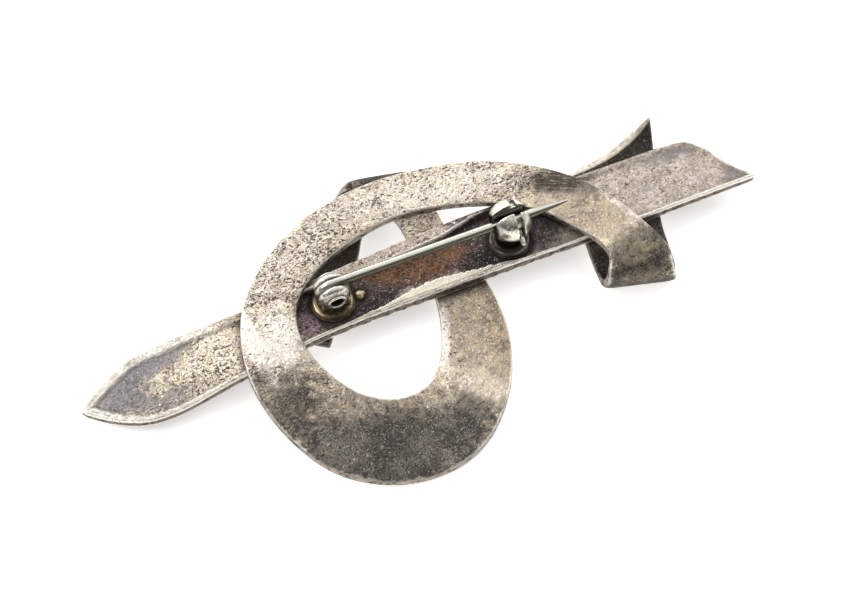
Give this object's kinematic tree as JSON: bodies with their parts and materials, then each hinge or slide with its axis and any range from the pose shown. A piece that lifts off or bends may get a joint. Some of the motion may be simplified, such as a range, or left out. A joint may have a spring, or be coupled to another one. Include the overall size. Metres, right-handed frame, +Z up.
{
  "type": "ribbon brooch",
  "caption": "Folded ribbon brooch in sheet silver, lying back up: a tray-shaped bar tied in a flat loop, with a hinged pin stem and a rotating safety catch.",
  "frame": {"origin": "middle of the brooch's base, on the surface it lies on, front down", "axes": "+X along the bar towards its fishtail end, +Y across the bar away from the loop, +Z up, out of the brooch's back"},
  "size_m": [0.0724, 0.0338, 0.0088],
  "materials": {
    "silver": "aged sterling silver, warm grey with dark tarnish in pits and hollows",
    "findings": "polished silver findings, lightly tarnished"
  },
  "bodies": {
    "brooch": {"ribbon_body": "silver", "joint_rivet": "findings"},
    "stem": {"pin_stem": "findings"},
    "rotor": {"catch_rotor": "findings"}
  },
  "joints": [
    {"name": "stem_hinge", "type": "hinge", "parent": "brooch", "child": "stem", "pos_m": [-0.0089, 0.00389, 0.00527], "axis": [0, -1, 0], "range_deg": [0, 75]},
    {"name": "catch_turn", "type": "hinge", "parent": "brooch", "child": "rotor", "pos_m": [0.01015, 0.00389, 0.00667], "axis": [-1, 0, 0], "range_deg": [0, 100]}
  ]
}
